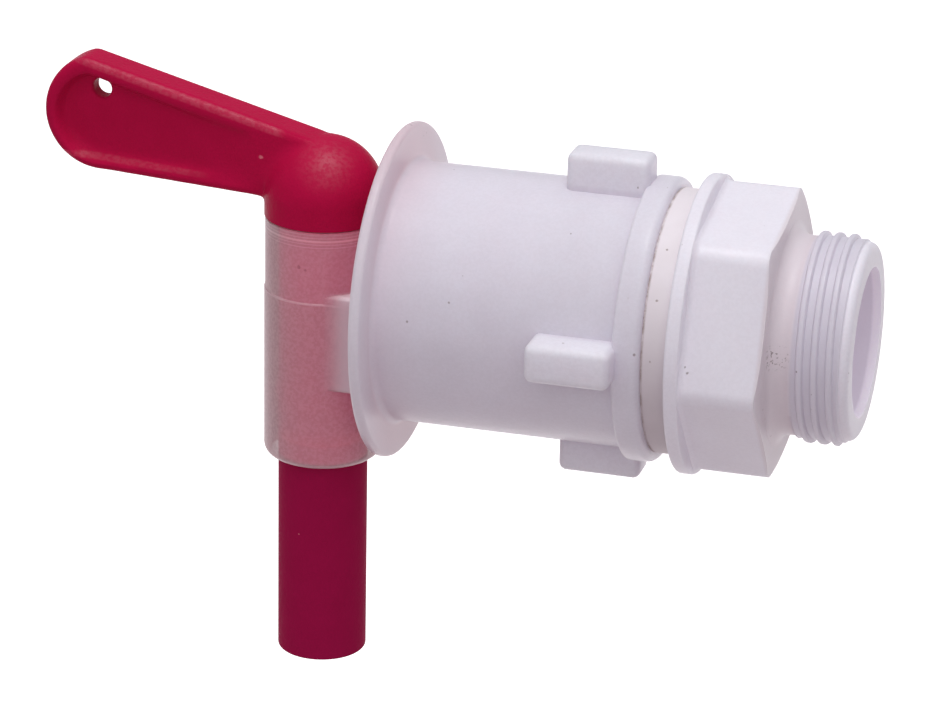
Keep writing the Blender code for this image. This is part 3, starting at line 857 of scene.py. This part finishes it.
# Soil: the specks that the photograph shows, some more caught beside the thread, and fine ones.
marks = white.spots(
    [
        (-2.68, -4.9, 15.26, 0.12),
        (-9.55, -16.5, 1.1, 0.2),
        (-9.2, -16.7, 0.45, 0.2),
        (-8.85, -16.9, -0.2, 0.2),
        (-0.73, -17.37, -3.9, 0.15),
        (0.1, -13.84, -4.98, 0.2),
        (0.3, -8.74, -10.42, 0.2),
        (5.35, -13.13, 1.34, 0.15),
        (3.71, -13.19, 0.13, 0.15),
        (5.63, -12.94, -2.69, 0.15),
        (5.6, -12.26, -4.88, 0.2),
        (5.42, -10.72, -7.7, 0.2),
        (9.73, -11.53, 0.15, 0.15),
        (9.67, -11.58, -1.0, 0.15),
        (7.04, -10.47, 8.03, 0.15),
    ]
)
caught = white.spots([(1.0, -12.6, 1.4, 2.0)]) * white.ramp(white.noise(2400.0, 2.0), 0.58, 0.66)
specks = white.specks(900.0, 0.14, 0.03) * white.ramp(white.noise(60.0), 0.45, 0.6)
soiling = white.maths("MINIMUM", marks + caught + specks, 1.0)
white.drive("Base Color", white.blend(soiling * 0.7, fresh_white, shade(112, 90, 86)))
# A faint painted glow in the bore stands in for light that comes through the white wall.
from_middle = white.maths("SQRT", white.z * white.z + white.y * white.y)
inside = white.ramp(from_middle, 0.00950, 0.00937)
white.drive("Emission Color", white.blend(inside, shade(0, 0, 0), shade(92, 86, 92)))
white.drive("Roughness", 0.36 + haze * 0.12)
white.bump(white.noise(2200.0, 2.0), 0.01 * MM)
finished(adapter, white.material, "body", "thread_adapter")

# Studio. A plain white floor well below the tap, which the camera sees as pure white, a large soft
# lamp in front and above, a small one overhead, and a sky that grows brighter towards the top.
FLOOR_REACH, FLOOR_HEIGHT = 3.0, -0.13
floor_shape = bmesh.new()
bmesh.ops.create_grid(floor_shape, x_segments=1, y_segments=1, size=FLOOR_REACH)
bmesh.ops.translate(floor_shape, verts=floor_shape.verts, vec=(0, 0, FLOOR_HEIGHT))
floor = solid("floor", floor_shape)
paper = bpy.data.materials.new("paper")
paper.use_nodes = True
tree = paper.node_tree
seen = tree.nodes.new("ShaderNodeLightPath")
card = tree.nodes["Principled BSDF"]
card.inputs["Base Color"].default_value = (0.54, 0.47, 0.485, 1)
card.inputs["Roughness"].default_value = 0.9
card.inputs["Emission Color"].default_value = (1, 1, 1, 1)
rays = tree.nodes.new("ShaderNodeMath")
rays.operation = "MAXIMUM"
tree.links.new(seen.outputs["Is Camera Ray"], rays.inputs[0])
tree.links.new(seen.outputs["Is Glossy Ray"], rays.inputs[1])
more = tree.nodes.new("ShaderNodeMath")
more.operation = "MAXIMUM"
tree.links.new(rays.outputs[0], more.inputs[0])
tree.links.new(seen.outputs["Is Transmission Ray"], more.inputs[1])
tree.links.new(more.outputs[0], card.inputs["Emission Strength"])
floor.data.materials.append(paper)

sky = bpy.data.worlds.new("sky")
sky.use_nodes = True
sky_nodes = sky.node_tree.nodes
sky_nodes["Background"].inputs["Color"].default_value = (0.93, 0.95, 1.0, 1)
direction = sky_nodes.new("ShaderNodeTexCoord")
height = sky_nodes.new("ShaderNodeSeparateXYZ")
dimmer = sky_nodes.new("ShaderNodeMapRange")
dimmer.inputs["From Max"].default_value = 0.6
dimmer.inputs["To Min"].default_value = 0.36
dimmer.inputs["To Max"].default_value = 0.62
sky.node_tree.links.new(direction.outputs["Generated"], height.inputs[0])
sky.node_tree.links.new(height.outputs["Z"], dimmer.inputs["Value"])
sky.node_tree.links.new(dimmer.outputs[0], sky_nodes["Background"].inputs["Strength"])
bpy.context.scene.world = sky

LIT_PLACE = Vector((-0.04, 0, 0))
for lamp_name, size, power, stand in (
    ("soft_box", 0.5, 0.62, Vector((0.05, -0.42, 0.42))),
    ("small_lamp", 0.11, 0.9, Vector((0.004, -0.068, 0.554))),
):
    lamp_data = bpy.data.lights.new(lamp_name, "AREA")
    lamp_data.shape = "SQUARE"
    lamp_data.size = size
    lamp_data.energy = power
    lamp = bpy.data.objects.new(lamp_name, lamp_data)
    lamp.location = stand
    lamp.rotation_euler = (LIT_PLACE - stand).to_track_quat("-Z", "Y").to_euler()
    bpy.context.scene.collection.objects.link(lamp)

# The camera stands where the photograph was taken from, and leans by about one degree as it did.
CAMERA_PLACE = Vector((87.96, -459.60, 172.71))
camera_data = bpy.data.cameras.new("camera")
camera_data.sensor_width = 36
camera_data.lens = 153.6
camera = bpy.data.objects.new("camera", camera_data)
azimuth, elevation, roll = math.radians(15.6), math.radians(20.713), math.radians(1.13)
back = Vector(
    (
        math.sin(azimuth) * math.cos(elevation),
        -math.cos(azimuth) * math.cos(elevation),
        math.sin(elevation),
    )
)
level = Vector((math.cos(azimuth), math.sin(azimuth), 0))
right = level * math.cos(roll) + back.cross(level) * math.sin(roll)
up = back.cross(right)
turn = Matrix((right, up, back)).transposed().to_4x4()
camera.matrix_world = Matrix.Translation(CAMERA_PLACE * MM) @ turn
bpy.context.scene.collection.objects.link(camera)
bpy.context.scene.camera = camera
bpy.context.scene.view_settings.view_transform = "Standard"
